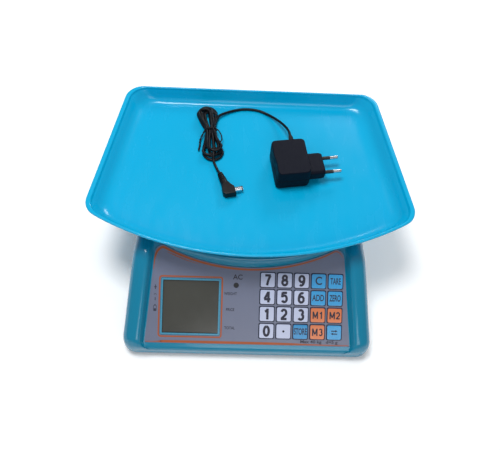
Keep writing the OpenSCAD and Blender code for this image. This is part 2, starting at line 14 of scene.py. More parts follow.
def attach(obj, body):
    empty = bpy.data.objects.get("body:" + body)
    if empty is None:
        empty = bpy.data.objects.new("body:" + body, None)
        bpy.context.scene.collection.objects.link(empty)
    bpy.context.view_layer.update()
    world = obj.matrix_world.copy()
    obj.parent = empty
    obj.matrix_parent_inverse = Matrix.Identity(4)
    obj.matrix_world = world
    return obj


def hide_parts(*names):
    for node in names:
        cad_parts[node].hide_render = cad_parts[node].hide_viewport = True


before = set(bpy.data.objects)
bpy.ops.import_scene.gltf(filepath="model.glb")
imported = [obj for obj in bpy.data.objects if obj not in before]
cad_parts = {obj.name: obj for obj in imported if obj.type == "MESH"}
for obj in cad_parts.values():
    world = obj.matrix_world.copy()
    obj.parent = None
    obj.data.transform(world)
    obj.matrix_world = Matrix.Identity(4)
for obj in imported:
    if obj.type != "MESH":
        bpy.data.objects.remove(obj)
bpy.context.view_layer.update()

MM = 0.001
PI = math.pi

# Places and sizes that part.scad has too
BASE_FRONT, BASE_BACK, BASE_FRONT_W, BASE_BACK_W = -145, 125, 268, 242
SEAM_Z, DECK_Z, WALL = 12, 74, 2.5
PANEL_Y, PANEL_Z, PANEL_TILT = BASE_FRONT + 6, 20.2, math.radians(30)
OVERLAY_LOW_W, OVERLAY_HIGH_W, OVERLAY_H = 219, 201, 104
BULGE_R, BULGE_V = 206, 82.2
LCD_AT, LCD_SIZE = (-61.8, 39), (60, 57)
KEYPAD_AT, KEY_W, KEY_PITCH, KEY_PROUD = (56.2, 42.4), 16.4, 18.2, 0.9
KEYPAD_HOLE = (93, 75)
LED_AT = (-13.8, 63)
DECK_HOLE_AT, DECK_HOLE = (51, 33), (36, 34)
# The back wall's openings: place as (x, z), then width and height
REAR_LCD_AT, REAR_LCD_HOLE = (0, 51), (76, 26)
SWITCH_AT, SWITCH_HOLE = (85, 30), (13, 19.5)
JACK_AT = (-85, 25)
PAN_FLOOR = 88
ADAPTER_AT, ADAPTER_TURN, ADAPTER_W, ADAPTER_D = (41.7, 41.2, PAN_FLOOR), 8.5, 38, 47
BLOCK_W, BLOCK_H, PIN_MID_Y, PIN_MID_Z, PIN_GAP = 28, 14, -6.3, 14, 18.6
PLUG_AT, PLUG_TURN = (-25, 9, PAN_FLOOR + 4.8), 13
LEAD_D = 3

CAMERA_AT, CAMERA_LENS, CAMERA_SENSOR = (-21.9, -326.6, 601.9), 40.32, 36
CAMERA_PITCH, CAMERA_YAW, CAMERA_ROLL = math.radians(60), math.radians(4), math.radians(5.2)

INK_LOW, INK_HIGH = -0.02, 0.05     # a print's lower and upper face, from the surface it is on


def spot(x, y, z):
    """A point given in millimetres, in metres."""
    return Vector((x, y, z)) * MM


def srgb(red, green, blue):
    """A linear colour from display values of 0 to 255."""
    def linear(c):
        c = c / 255
        return c / 12.92 if c <= 0.04045 else ((c + 0.055) / 1.055) ** 2.4
    return (linear(red), linear(green), linear(blue), 1)


def mix(a, b, share):
    """The value a given share of the way from a to b."""
    return a + (b - a) * share


def smooth_step(x):
    """A soft ramp from 0 to 1 while x goes from 0 to 1."""
    x = min(max(x, 0), 1)
    return x * x * (3 - 2 * x)


def add_object(name, data):
    """A new object of the scene with this data."""
    thing = bpy.data.objects.new(name, data)
    bpy.context.scene.collection.objects.link(thing)
    return thing


def mesh_object(name, build):
    """Ends a bmesh and makes it an object of the scene."""
    mesh = bpy.data.meshes.new(name)
    build.to_mesh(mesh)
    build.free()
    return add_object(name, mesh)


# --- Camera ---------------------------------------------------------------------------------

def make_camera():
    """Looks down on the front of the scale, turned a little to the right and rolled."""
    pitch, yaw, roll = CAMERA_PITCH, CAMERA_YAW, CAMERA_ROLL
    ahead = Vector((math.sin(yaw) * math.cos(pitch), math.cos(yaw) * math.cos(pitch), -math.sin(pitch)))
    level = Vector((math.cos(yaw), -math.sin(yaw), 0))
    upright = level.cross(ahead)
    right = level * math.cos(roll) + upright * math.sin(roll)
    up = upright * math.cos(roll) - level * math.sin(roll)
    data = bpy.data.cameras.new("camera")
    data.sensor_width = CAMERA_SENSOR
    data.lens = CAMERA_LENS
    camera = add_object("camera", data)
    turn = Matrix((right, up, -ahead)).transposed().to_4x4()
    camera.matrix_world = Matrix.Translation(spot(*CAMERA_AT)) @ turn
    bpy.context.scene.camera = camera


# --- Materials ------------------------------------------------------------------------------

def material(name, colour, rough, metal=0.0, coat=0.0, coat_rough=0.08, vary=0.06, patch=35,
             grain=1500, bump=0.05, depth=0.05, specular=0.5, glow=0.0):
    """A moulded, rubbed or plated surface.

    colour varies by vary in patches; rough is uneven, with fine scuffs; grain (cycles a metre) is the
    surface's texture, bump its strength and depth its height in millimetres."""
    mat = bpy.data.materials.new(name)
    mat.use_nodes = True
    nodes, links = mat.node_tree.nodes, mat.node_tree.links
    nodes.clear()
    out = nodes.new("ShaderNodeOutputMaterial")
    shader = nodes.new("ShaderNodeBsdfPrincipled")
    links.new(shader.outputs["BSDF"], out.inputs["Surface"])
    place = nodes.new("ShaderNodeTexCoord")

    def noise(scale, detail, stretch=(1, 1, 1)):
        node = nodes.new("ShaderNodeTexNoise")
        node.inputs["Scale"].default_value = scale
        node.inputs["Detail"].default_value = detail
        mapping = nodes.new("ShaderNodeMapping")
        mapping.inputs["Scale"].default_value = stretch
        links.new(place.outputs["Object"], mapping.inputs["Vector"])
        links.new(mapping.outputs["Vector"], node.inputs["Vector"])
        return node

    patches = noise(patch, 3)
    blend = nodes.new("ShaderNodeMix")
    blend.data_type = "RGBA"
    links.new(patches.outputs["Fac"], blend.inputs[0])
    blend.inputs[6].default_value = [c * (1 - vary) for c in colour[:3]] + [1]
    blend.inputs[7].default_value = [min(1, c * (1 + vary)) for c in colour[:3]] + [1]
    links.new(blend.outputs[2], shader.inputs["Base Color"])

    scuffs = noise(patch * 9, 6, (1, 0.35, 1))
    gloss = nodes.new("ShaderNodeMapRange")
    gloss.inputs["From Min"].default_value = 0.3
    gloss.inputs["From Max"].default_value = 0.7
    gloss.inputs["To Min"].default_value = rough * 0.82
    gloss.inputs["To Max"].default_value = min(1, rough * 1.25)
    links.new(scuffs.outputs["Fac"], gloss.inputs["Value"])
    links.new(gloss.outputs["Result"], shader.inputs["Roughness"])

    texture = noise(grain, 4)
    lift = nodes.new("ShaderNodeBump")
    lift.inputs["Strength"].default_value = bump
    lift.inputs["Distance"].default_value = depth * MM
    links.new(texture.outputs["Fac"], lift.inputs["Height"])
    links.new(lift.outputs["Normal"], shader.inputs["Normal"])

    shader.inputs["Metallic"].default_value = metal
    shader.inputs["Coat Weight"].default_value = coat
    shader.inputs["Coat Roughness"].default_value = coat_rough
    shader.inputs["Specular IOR Level"].default_value = specular
    shader.inputs["Emission Color"].default_value = (1, 1, 1, 1)
    shader.inputs["Emission Strength"].default_value = glow
    return mat


def make_materials():
    """Every finish on the scale, by a short name."""
    black = srgb(20, 22, 26)
    return {
        "pan": material("pan_plastic", srgb(0, 165, 211), 0.24, coat=0.25, coat_rough=0.04, vary=0.03,
                        patch=9, grain=700, bump=0.06, depth=0.04, specular=0.2),
        "body": material("housing_plastic", srgb(0, 122, 155), 0.2, coat=0.3, coat_rough=0.04, vary=0.05,
                         patch=14, grain=420, bump=0.10, depth=0.06, specular=0.4),
        "overlay": material("overlay_film", srgb(104, 110, 132), 0.34, coat=0.15, coat_rough=0.2,
                            vary=0.05, patch=22, grain=2600, bump=0.10),
        "orange": material("orange_ink", srgb(160, 74, 22), 0.42, vary=0.10, patch=60),
        "ink": material("dark_ink", srgb(28, 28, 48), 0.45, vary=0.10, patch=60),
        "rim": material("window_rim", srgb(58, 136, 166), 0.3, coat=0.3, vary=0.08, patch=60),
        "glass": material("display_glass", srgb(60, 60, 54), 0.16, coat=0.8, coat_rough=0.03, vary=0.16,
                          patch=18, grain=900, bump=0.02),
        "lcd": material("lcd_film", srgb(86, 92, 80), 0.35, vary=0.06),
        "white": material("key_white", srgb(184, 191, 216), 0.36, coat=0.2, vary=0.05, patch=70),
        "blue": material("key_blue", srgb(44, 148, 204), 0.30, coat=0.35, vary=0.10, patch=70),
        "deep_blue": material("key_deep_blue", srgb(0, 130, 188), 0.30, coat=0.35, vary=0.08, patch=70),
        "amber": material("key_orange", srgb(206, 112, 62), 0.32, coat=0.3, vary=0.10, patch=70),
        "outline": material("key_outline", srgb(24, 30, 66), 0.4, coat=0.2, vary=0.08, patch=70),
        "case": material("adapter_plastic", srgb(9, 13, 27), 0.5, vary=0.08, patch=45, grain=2200,
                         bump=0.28, depth=0.08, specular=0.12),
        "cable": material("cable_pvc", srgb(8, 9, 15), 0.42, vary=0.12, patch=120, grain=1400, bump=0.12,
                          specular=0.22),
        "rubber": material("rubber", black, 0.7, vary=0.15, grain=1800, bump=0.3, depth=0.08),
        "hard_black": material("black_plastic", black, 0.4, vary=0.08, grain=1800, bump=0.15),
        "plated": material("plated_metal", srgb(206, 208, 212), 0.2, metal=1, vary=0.05, patch=200,
                           grain=900, bump=0.05),
        "steel": material("zinc_steel", srgb(170, 172, 176), 0.36, metal=1, vary=0.08, patch=90, bump=0.10),
        "alloy": material("machined_alloy", srgb(188, 190, 194), 0.32, metal=1, vary=0.05, patch=60,
                          grain=700, bump=0.12),
        "board": material("circuit_board", srgb(20, 92, 52), 0.4, coat=0.4, vary=0.10, patch=120),
        "battery": material("battery_case", srgb(44, 46, 52), 0.5, vary=0.08, grain=1500, bump=0.2),
        "wire": material("wire_sleeve", srgb(150, 36, 30), 0.45, vary=0.15, patch=100),
        "floor": material("floor_paper", srgb(252, 252, 252), 0.75, vary=0.008, patch=3, grain=300,
                          bump=0.02, glow=0.08),
    }


# --- Mesh building --------------------------------------------------------------------------

def smooth_shading(piece, sharp, weighted=True):
    """Smooth shading that breaks at edges sharper than an angle, in degrees."""
    piece.data.shade_smooth()
    piece.data.set_sharp_from_angle(angle=math.radians(sharp))
    if weighted:
        piece.modifiers.new("even_normals", "WEIGHTED_NORMAL").keep_sharp = True


def finish_mesh(name, build, mats, body, slot, nodes=(), sharp=35, weighted=True):
    """Turns a bmesh in metres into a smooth piece that rides on a body and replaces CAD nodes."""
    bmesh.ops.recalc_face_normals(build, faces=build.faces)
    piece = mesh_object(name, build)
    for mat in mats:
        piece.data.materials.append(mat)
    smooth_shading(piece, sharp, weighted)
    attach(piece, body)
    if nodes:
        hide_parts(*nodes)
    return piece


def add_loft(build, rings, caps=True, mat_of=None):
    """Joins rings of equal length, in millimetres, with quads, and caps the two ends.

    mat_of gives the material index of the band after each ring."""
    mat_of = mat_of or [0] * (len(rings) - 1)
    rows = [[build.verts.new(spot(*p)) for p in ring] for ring in rings]
    count = len(rows[0])
    for i in range(len(rows) - 1):
        for k in range(count):
            n = (k + 1) % count
            face = build.faces.new((rows[i][k], rows[i][n], rows[i + 1][n], rows[i + 1][k]))
            face.material_index = mat_of[i]
    if caps:
        build.faces.new(rows[0][::-1]).material_index = mat_of[0]
        build.faces.new(rows[-1]).material_index = mat_of[-1]


def circle(r, count):
    """Points round a circle of radius r about the origin."""
    return [(r * math.cos(2 * PI * i / count), r * math.sin(2 * PI * i / count)) for i in range(count)]


def rounded_box_ring(w, d, r, steps=5, sides=1):
    """Outline of a rectangle w by d round the origin, with rounded corners and sides of several parts."""
    points = []
    for sx, sy, start in ((1, -1, -90), (1, 1, 0), (-1, 1, 90), (-1, -1, 180)):
        cx, cy = sx * (w / 2 - r), sy * (d / 2 - r)
        for i in range(steps + 1):
            a = math.radians(start + 90 * i / steps)
            points.append((cx + r * math.cos(a), cy + r * math.sin(a)))
        run = d / 2 - r if sx * sy < 0 else w / 2 - r
        ahead = (-math.sin(math.radians(start + 90)), math.cos(math.radians(start + 90)))
        x, y = points[-1]
        for i in range(1, sides):
            points.append((x + ahead[0] * 2 * run * i / sides, y + ahead[1] * 2 * run * i / sides))
    return points


def smooth_path(points, steps):
    """Points along a Catmull-Rom curve through the given ones."""
    path = []
    last = len(points) - 1
    for i in range(last):
        a, b, c, d = (Vector(points[min(max(j, 0), last)]) for j in (i - 1, i, i + 1, i + 2))
        for j in range(steps):
            t = j / steps
            path.append(0.5 * (2 * b + (c - a) * t + (2 * a - 5 * b + 4 * c - d) * t * t
                               + (3 * b - a - 3 * c + d) * t ** 3))
    return path + [Vector(points[-1])]


def turned(at, degrees):
    """A function from a local point to the CAD frame, turned about Z and moved to at."""
    ca, sa = math.cos(math.radians(degrees)), math.sin(math.radians(degrees))

    def place(x, y, z):
        return (at[0] + x * ca - y * sa, at[1] + x * sa + y * ca, at[2] + z)
    return place


# --- Pan ------------------------------------------------------------------------------------

PAN_HALF_FRONT, PAN_HALF_BACK, PAN_SIDE_D, PAN_FRONT_R = 175, 146, 171, 330
PAN_SIDE_IN, PAN_FRONT_IN, PAN_BACK_IN = 25, 15, 11     # how far the floor lies inside the rim
PAN_CORNER_R = 20
PAN_ARC_END = math.radians(3.6)     # the front's arc stops this far short of the corner


def pan_outline(k):
    """The pan's outline, in plan: at the rim for k = 0, at the floor's edge for k = 1."""
    side = Vector((PAN_HALF_BACK - PAN_HALF_FRONT, PAN_SIDE_D)).normalized()
    outward = Vector((side.y, -side.x))
    corner = Vector((PAN_HALF_FRONT, -BASE_FRONT - PAN_SIDE_D))
    middle = Vector((0, corner.y + math.sqrt(PAN_FRONT_R ** 2 - corner.x ** 2)))
    foot = outward * (outward.dot(corner) - PAN_SIDE_IN * k)
    q = foot - middle
    rad = PAN_FRONT_R - PAN_FRONT_IN * k
    front = foot + side * (-side.dot(q) - math.sqrt(side.dot(q) ** 2 - q.dot(q) + rad * rad))
    back = foot + side * ((-BASE_FRONT - PAN_BACK_IN * k - foot.y) / side.y)
    spread = math.asin(front.x / rad) - PAN_ARC_END
    bow = [middle + rad * Vector((math.sin(spread * i / 14), -math.cos(spread * i / 14))) for i in range(15)]
    right = bow + round_corner(bow[-1], front, back, PAN_CORNER_R)
    right += round_corner(front, back, Vector((-back.x, back.y)), PAN_CORNER_R)
    return right + [Vector((-p.x, p.y)) for p in reversed(right[1:])]


def round_corner(a, p, b, r, steps=8):
    """Arc of radius r in the corner p between a and b."""
    u, w = (a - p).normalized(), (b - p).normalized()
    half = math.acos(max(-1, min(1, u.dot(w)))) / 2
    centre = p + (u + w).normalized() * r / math.sin(half)
    start, end = p + u * r / math.tan(half) - centre, p + w * r / math.tan(half) - centre
    first = math.atan2(start.y, start.x)
    turn = (math.atan2(end.y, end.x) - first + PI) % (2 * PI) - PI
    return [centre + r * Vector((math.cos(first + turn * i / steps), math.sin(first + turn * i / steps)))
            for i in range(steps + 1)]


def make_pan(mats):
    """Shallow tray: flat floor, sloped walls and a rounded lip, all one moulding.

    The profiles hold how far in from the rim each line lies, and its height."""
    outer = [(31, 85), (28, 85), (24, 85), (20, 85.5), (16.5, 87.3), (13, 90.7), (10, 94.7), (7.4, 98.8),
             (5.2, 101.3), (3.4, 102), (1.2, 102.1), (0.3, 102.6), (0, 103.6), (0.2, 104.4), (0.9, 104.95),
             (2.2, 105)]
    inner = [(3.2, 105), (4.2, 104.9), (4.9, 104.5), (5.3, 103.7), (5.8, 102.3), (6.6, 101.4), (8.2, 99.7),
             (10.6, 96.4), (13.4, 93), (16.8, 90.6), (20.6, 89.1), (24.6, 88.3), (28.5, 88), (32, 88)]
    rings = []
    for inset, z in outer + inner:
        rings.append([(p.x, p.y, z) for p in pan_outline(inset / PAN_SIDE_IN)])
    build = bmesh.new()
    add_loft(build, rings)
    finish_mesh("weighing_pan_skin", build, [mats["pan"]], "pan", "pan", ["weighing_tray"], sharp=50)


# --- Upper housing --------------------------------------------------------------------------

FRONT_CORNER, BACK_CORNER = 14, 10
RAIL_RISE = 8.1                     # the rails' crest stands this far above the overlay's face
SHOULDER_R = 15
SIDE_DRAFT = 0.10                   # how much the side walls lean in for each millimetre up
ARC_W = -56                         # the row of the grid that follows the foot of the deck's bow
BOW_END = 20                        # the rows from here back are straight
DECK_SOFT = 3.0                     # half of the height over which the rails blend into the deck
OVERLAY_SEAT = 1.15                 # how far the overlay's seat lies under its face
SLOPE_W = 8.6                       # width kept for the rails' inner slope
PANEL_END_R, RAIL_END_R, BACK_END_R = 3.4, 9, 6     # rounding of the top's front and back edges


def panel_height(y):
    """Height of the overlay's face at y."""
    return PANEL_Z + (y - PANEL_Y) * math.tan(PANEL_TILT)


def bow_v(u):
    """Where the deck's bowed front meets the panel, up the panel, at u."""
    return BULGE_V + BULGE_R - math.sqrt(BULGE_R ** 2 - u * u)


def bow_y(x):
    """Plan position of the deck's bowed front at x."""
    return PANEL_Y + bow_v(min(abs(x), OVERLAY_HIGH_W / 2)) * math.cos(PANEL_TILT)


def base_half(y):
    """Half of the housing's width at y, with the corners' rounding in plan."""
    straight = mix(BASE_FRONT_W, BASE_BACK_W, (y - BASE_FRONT) / (BASE_BACK - BASE_FRONT)) / 2
    for r, d in ((FRONT_CORNER, y - BASE_FRONT), (BACK_CORNER, BASE_BACK - y)):
        if d < r:
            straight -= r - math.sqrt(max(0, r * r - (r - d) ** 2))
    return straight


def edge_drop(d, r):
    """How far a rounded edge of radius r has dropped at the distance d from its outer face."""
    return 0 if d >= r else r - math.sqrt(max(0, r * r - (r - d) ** 2))


def housing_rows():
    """The grid's rows: y before it follows the bow, and share of the deck's rise."""
    front = [0, 0.25, 0.8, 1.6, 2.6, 3.6, 4.8, 5.9]
    rows = [(BASE_FRONT + d, 0) for d in front]
    rows += [(y, 0) for y in (-138.7, -137, -134, -131, -122, -110, -98, -86, -76, -68, -62, -58, ARC_W)]
    rise = ((0.5, 0.06), (1.1, 0.25), (1.8, 0.55), (2.6, 0.82), (3.6, 0.96), (5, 1))
    rows += [(ARC_W + d, s) for d, s in rise]
    rows += [(y, 1) for y in (-46, -34, -20, 0, 20, 45, 70, 95, 112)]
    return rows + [(BASE_BACK - d, 1) for d in (10, 7.5, 5.5, 4, 2.8, 1.7, 0.8, 0.25, 0)]


# Columns of the grid from the middle line outwards
FLAT_SHARES = (0, 0.15, 0.3, 0.45, 0.6, 0.75, 0.88, 0.96)
SLOPE = ((0.5, 0), (1.1, 0.06), (1.9, 0.2), (2.9, 0.46), (3.9, 0.72), (5, 0.9), (6.4, 0.985), (8, 1))
SHOULDER_ANGLES = (88, 78, 66, 54, 42, 30, 18, 6)


def moved_in(w, rise, thick):
    """The grid row w moved inwards, for the inside of a wall of this thickness."""
    if not thick:
        return w
    depth = (w - BASE_FRONT) / (BASE_BACK - BASE_FRONT)
    inside = mix(BASE_FRONT + thick, BASE_BACK - thick, depth)
    near_bow = smooth_step(1 - abs(w - ARC_W) / 60)
    return mix(inside, w + (thick if rise > 0 else 0), near_bow)


def bow_share(w):
    """How much the grid row w follows the deck's bow: fully at ARC_W, fading to both sides."""
    if PANEL_Y < w <= ARC_W:
        return smooth_step((w - PANEL_Y - 2) / (ARC_W - PANEL_Y - 2))
    if ARC_W < w < BOW_END:
        return 1 - smooth_step((w - ARC_W - 6) / (BOW_END - ARC_W - 6))
    return 0


def crest_and_floor(w, rise, y):
    """Heights of the rails' crest and of the recess between them, on the row w at y."""
    plane = panel_height(y)
    crest = plane + RAIL_RISE
    share = smooth_step((crest - DECK_Z + DECK_SOFT) / (2 * DECK_SOFT))
    crest = mix(crest, DECK_Z, share) - DECK_SOFT * share * (1 - share) * 0.8
    low = plane - (OVERLAY_SEAT if w > PANEL_Y else 0)
    floor = mix(min(low, crest), crest, rise) if rise < 1 else crest
    return crest, min(floor, crest)


def housing_section(w, rise, thick):
    """One row of the upper housing's skin, right half, moved inwards by thick."""
    y_in, share_of_bow = moved_in(w, rise, thick), bow_share(w)

    def row_y(x):
        return y_in + share_of_bow * (bow_y(x) - ARC_W)

    def heights(x):
        return crest_and_floor(w, rise, row_y(x))

    crest = heights(BASE_FRONT_W / 2 - 4)[0]
    radius = min(SHOULDER_R, 0.72 * (crest - SEAM_Z)) - thick * 0.6
    half = base_half(w) - thick
    draft = SIDE_DRAFT * max(0, crest - radius - SEAM_Z)
    centre = half - draft - radius
    v = (row_y(0.9 * centre) - PANEL_Y) / math.cos(PANEL_TILT)
    up_panel = max(0, min(OVERLAY_H, v)) / OVERLAY_H
    edge = mix(OVERLAY_LOW_W, OVERLAY_HIGH_W, up_panel) / 2 + 0.3
    edge = min(edge, centre - SLOPE_W) + thick * 0.5

    def dropped(x, z):
        """The height with the front and back edges' rounding."""
        to_rail = smooth_step((abs(x) - edge + 1) / 8)
        z -= edge_drop(w - BASE_FRONT, mix(PANEL_END_R, RAIL_END_R, to_rail))
        z -= edge_drop(BASE_BACK - w, BACK_END_R)
        return max(z - thick * 1.06, SEAM_Z + 0.4)

    points = []
    for share in FLAT_SHARES:
        x = share * edge
        points.append((x, row_y(x), dropped(x, heights(x)[1])))
    for out, up in SLOPE:
        x = edge + out * min(1, (centre - edge) / SLOPE_W)
        top, low = heights(x)
        points.append((x, row_y(x), dropped(x, mix(low, top, up))))
    for degrees in SHOULDER_ANGLES:
        a = math.radians(degrees)
        x = centre + radius * math.cos(a)
        points.append((x, row_y(x), dropped(x, heights(x)[0] - radius * (1 - math.sin(a)))))
    below = points[-1][2]
    for share in (0.66, 0.33, 0):
        z = mix(SEAM_Z, below, share)
        points.append((half - SIDE_DRAFT * (z - SEAM_Z), row_y(half), z))
    return points


def full_row(points):
    """A section from the left seam over the top to the right seam."""
    return [(-x, y, z) for x, y, z in reversed(points[1:])] + list(points)


def add_shell(build, outer, inner):
    """A closed shell from two grids of the same size, joined along their open lower edge."""
    grids = []
    for grid, flip in ((outer, False), (inner, True)):
        rows = [[build.verts.new(spot(*p)) for p in row] for row in grid]
        for i in range(len(rows) - 1):
            for k in range(len(rows[0]) - 1):
                quad = (rows[i][k], rows[i][k + 1], rows[i + 1][k + 1], rows[i + 1][k])
                build.faces.new(quad[::-1] if flip else quad)
        build.faces.new(rows[0] if flip else rows[0][::-1])
        build.faces.new(rows[-1][::-1] if flip else rows[-1])
        grids.append(rows)
    a, b = grids
    for i in range(len(a) - 1):
        for k in (0, -1):
            build.faces.new((a[i][k], a[i + 1][k], b[i + 1][k], b[i][k]))
    for i in (0, -1):
        build.faces.new((a[i][0], a[i][-1], b[i][-1], b[i][0]))


def add_cutter(build, ring, place):
    """A solid prism for cutting: ring is its outline and place(x, y, share) sets its two ends."""
    ends = [[build.verts.new(spot(*place(x, y, s))) for x, y in ring] for s in (0, 1)]
    count = len(ring)
    for k in range(count):
        n = (k + 1) % count
        build.faces.new((ends[0][k], ends[0][n], ends[1][n], ends[1][k]))
    build.faces.new(ends[0][::-1])
    build.faces.new(ends[1])


def housing_cutters():
    """Windows and holes through the upper housing, as one mesh object."""
    build = bmesh.new()

    def through_panel(at):
        def place(u, v, s):
            return panel_spot(at[0] + u, at[1] + v, mix(-10, 6, s))
        return place

    def through_deck(x, y, s):
        return (DECK_HOLE_AT[0] + x, DECK_HOLE_AT[1] + y, mix(DECK_Z - 10, DECK_Z + 10, s))

    def through_back(mid_x, mid_z):
        def place(x, y, s):
            return (mid_x + x, mix(BASE_BACK - 9, BASE_BACK + 4, s), mid_z + y)
        return place

    add_cutter(build, rounded_box_ring(*LCD_SIZE, 1), through_panel(LCD_AT))
    add_cutter(build, rounded_box_ring(*KEYPAD_HOLE, 2), through_panel(KEYPAD_AT))
    add_cutter(build, rounded_box_ring(5, 5, 2.49), through_panel(LED_AT))
    add_cutter(build, rounded_box_ring(*DECK_HOLE, 4), through_deck)
    add_cutter(build, rounded_box_ring(*REAR_LCD_HOLE, 1), through_back(*REAR_LCD_AT))
    add_cutter(build, rounded_box_ring(*SWITCH_HOLE, 0.5), through_back(*SWITCH_AT))
    add_cutter(build, rounded_box_ring(11.7, 11.7, 5.84, 8), through_back(*JACK_AT))
    bmesh.ops.recalc_face_normals(build, faces=build.faces)
    return mesh_object("cutters", build)


def make_upper_housing(mats):
    """Upper housing: broad rounded side rails, sloped panel recess and the deck's bowed front."""
    outer = [full_row(housing_section(w, rise, 0)) for w, rise in housing_rows()]
    inner = [full_row(housing_section(w, rise, WALL)) for w, rise in housing_rows()]
    build = bmesh.new()
    add_shell(build, outer, inner)
    shell = finish_mesh("upper_housing_skin", build, [mats["body"]], "housing", "housing",
                        ["upper_housing"], sharp=180, weighted=False)
    cutter = housing_cutters()
    cut = shell.modifiers.new("windows", "BOOLEAN")
    cut.operation = "DIFFERENCE"
    cut.solver = "EXACT"
    cut.object = cutter
    view = bpy.context.evaluated_depsgraph_get()
    done = bpy.data.meshes.new_from_object(shell.evaluated_get(view))
    shell.modifiers.clear()
    shell.data = done
    smooth_shading(shell, 38)
    bpy.data.objects.remove(cutter, do_unlink=True)


# --- Control panel --------------------------------------------------------------------------

def panel_spot(u, v, z):
    """A point of the panel's own frame, in millimetres of the CAD frame."""
    c, s = math.cos(PANEL_TILT), math.sin(PANEL_TILT)
    return (u, PANEL_Y + v * c - z * s, PANEL_Z + v * s + z * c)


def moved(points, at):
    """Plan points moved by at."""
    return [(at[0] + x, at[1] + y) for x, y in points]


def add_print(build, left, right, z0=INK_LOW, z1=INK_HIGH, closed=False):
    """A thin raised strip of ink on the overlay between two lines of (u, v) points."""
    count = len(left)
    rows = []
    for a, b in zip(left, right):
        corners = ((a, z0), (a, z1), (b, z1), (b, z0))
        rows.append([build.verts.new(spot(*panel_spot(p[0], p[1], z))) for p, z in corners])
    for i in range(count if closed else count - 1):
        n = (i + 1) % count
        for k in range(4):
            m = (k + 1) % 4
            build.faces.new((rows[i][k], rows[i][m], rows[n][m], rows[n][k]))
    if not closed:
        build.faces.new(rows[0])
        build.faces.new(rows[-1][::-1])


def add_line(build, points, widths, z0=INK_LOW, z1=INK_HIGH):
    """A printed line through (u, v) points, with its width at each."""
    path = smooth_path([(p[0], p[1], w) for p, w in zip(points, widths)], 4)
    left, right = [], []
    for i, p in enumerate(path):
        ahead = path[min(i + 1, len(path) - 1)] - path[max(i - 1, 0)]
        side = Vector((-ahead.y, ahead.x)).normalized() * p.z / 2
        left.append((p.x + side.x, p.y + side.y))
        right.append((p.x - side.x, p.y - side.y))
    add_print(build, left, right, z0, z1)


def add_frame(build, at, size, r, width):
    """A printed rectangular frame with rounded corners."""
    outer = rounded_box_ring(size[0], size[1], r)
    inner = rounded_box_ring(size[0] - 2 * width, size[1] - 2 * width, max(0.2, r - width))
    add_print(build, moved(outer, at), moved(inner, at), closed=True)


def finish_print(name, build, mat, body="housing", slot="overlay"):
    """Ends a print's mesh."""
    finish_mesh(name, build, [mat], body, slot, sharp=30, weighted=False)


def make_orange_print(mat):
    """The line along the bow with its two peaks, the line along the lower edge and the window's frame."""
    left_peak = [(-101.9, 78), (-101.2, 88), (-99.4, 95.4), (-96.4, 99.8), (-92.2, 101.6), (-87, 99.4)]
    left_w = [0.4, 1.2, 2.0, 2.4, 2.6, 2.4]
    parts = 22
    along_bow = [mix(-80, 80, i / parts) for i in range(parts + 1)]
    bow = [(u, bow_v(u) - 2.1) for u in along_bow]
    bow_w = [mix(2.4, 1.5, i / parts) for i in range(parts + 1)]
    right_peak = [(87, 99.8), (92.2, 101.9), (96.6, 100.2), (99.6, 95.6)]
    right_w = [1.3, 1.1, 0.8, 0.3]
    build = bmesh.new()
    add_line(build, left_peak + bow + right_peak, left_w + bow_w + right_w)
    add_line(build, [(-88, 96.6), (-80, 93.3), (-68, 88.6), (-54, 84.4)], [0.2, 0.9, 0.7, 0.2])
    add_line(build, [(-108.6, 1.2), (-99, 1.3), (-92, 1.5), (-84, 1.7), (0, 1.7), (40, 1.6), (62, 1.4),
                     (86, 1.2), (108.6, 1.2)], [0.7, 0.8, 1.6, 2.4, 2.5, 2.2, 1.4, 0.9, 0.7])
    add_frame(build, LCD_AT, (68, 65.5), 3, 1.5)
    finish_print("orange_print", build, mat)


def make_window_rim(mat):
    """The pale line round the display window."""
    build = bmesh.new()
    add_frame(build, LCD_AT, (LCD_SIZE[0] + 3.2, LCD_SIZE[1] + 3.2), 1.6, 1.9)
    finish_print("window_rim", build, mat)


ICONS_AT = (-99.4, 36.6)
# Lines of the icons, from ICONS_AT, and their width: the battery's charge and cap, a bar, an arrow's
# head and the plus sign's two strokes
ICON_LINES = (
    (((-1, -1.4), (1, -1.4)), 2.2), (((-0.7, 3.6), (0.7, 3.6)), 0.9), (((0, 8.4), (0, 11.4)), 0.9),
    (((-1.4, 14.2), (0, 15.6), (1.4, 14.2)), 0.5), (((0, 20.2), (0, 25)), 0.8),
    (((-1.4, 22.6), (1.4, 22.6)), 0.8))
LED_RING_R = 2.9


def make_icons(mat):
    """The column of icons at the window's left, and the ring round the power light."""
    build = bmesh.new()
    add_frame(build, ICONS_AT, (3.4, 6), 0.6, 0.45)
    for points, width in ICON_LINES:
        add_line(build, moved(points, ICONS_AT), [width] * len(points))
    outer, inner = circle(LED_RING_R, 24), circle(0.76 * LED_RING_R, 24)
    add_print(build, moved(outer, LED_AT), moved(inner, LED_AT), closed=True)
    finish_print("panel_icons", build, mat)


# The panel's words: name, text, middle, height, how bold and how wide
LABELS = (
    ("label_ac", "AC", (LED_AT[0] + 1.6, 71.6), 5.2, 0.12, 1.0),
    ("label_weight", "WEIGHT", (-19.6, 53.8), 2.9, 0.07, 0.85),
    ("label_price", "PRICE", (-19.6, 36.8), 2.9, 0.07, 0.85),
    ("label_total", "TOTAL", (-19.6, 17.2), 2.9, 0.07, 0.85),
    ("label_capacity", "Max 40 kg   d=5 g", (76.5, 4.3), 3.1, 0.1, 1.25))


